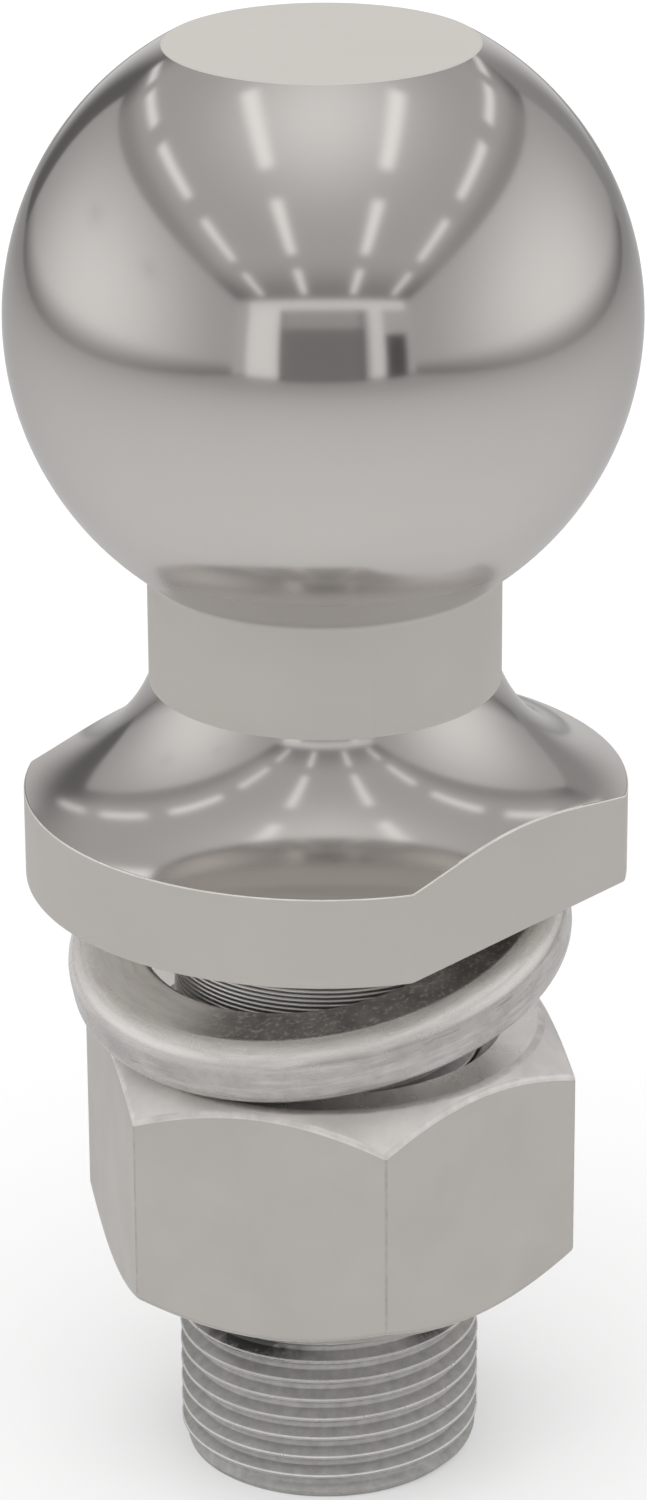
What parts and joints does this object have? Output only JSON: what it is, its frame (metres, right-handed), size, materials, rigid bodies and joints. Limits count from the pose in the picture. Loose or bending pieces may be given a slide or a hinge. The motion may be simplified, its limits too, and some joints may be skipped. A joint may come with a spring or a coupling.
{
  "type": "threaded tow ball",
  "caption": "Polished tow ball on a flared flange with wrench flats and a fine-threaded shank that carries a split lock washer and a chamfered hex nut.",
  "frame": {"origin": "centre of the shank's end face, on the axis of the shank and the ball", "axes": "+Z along the shank up to the ball, +Y away from the viewer of the picture, +X to its right"},
  "size_m": [0.0508, 0.0508, 0.1223],
  "materials": {
    "chrome_plate": "polished chrome plate, satin on the thread",
    "washer_zinc": "zinc plate with fine pits and scratches",
    "nut_zinc": "satin zinc plate"
  },
  "bodies": {
    "ball": {"tow_ball": "chrome_plate"},
    "washer": {"lock_washer": "washer_zinc"},
    "nut": {"hex_nut": "nut_zinc"}
  },
  "joints": [
    {"name": "nut_travel", "type": "slide", "parent": "ball", "child": "washer", "axis": [0, 0, -1], "range_m": [0, 0.01724]},
    {"name": "nut_turn", "type": "hinge", "parent": "washer", "child": "nut", "pos_m": [0, 0, 0.028], "axis": [0, 0, -1], "range_deg": [0, 3420]}
  ],
  "couplings": [
    {"joint": "nut_travel", "follows": "nut_turn", "m_per_rad": 0.00028875}
  ]
}
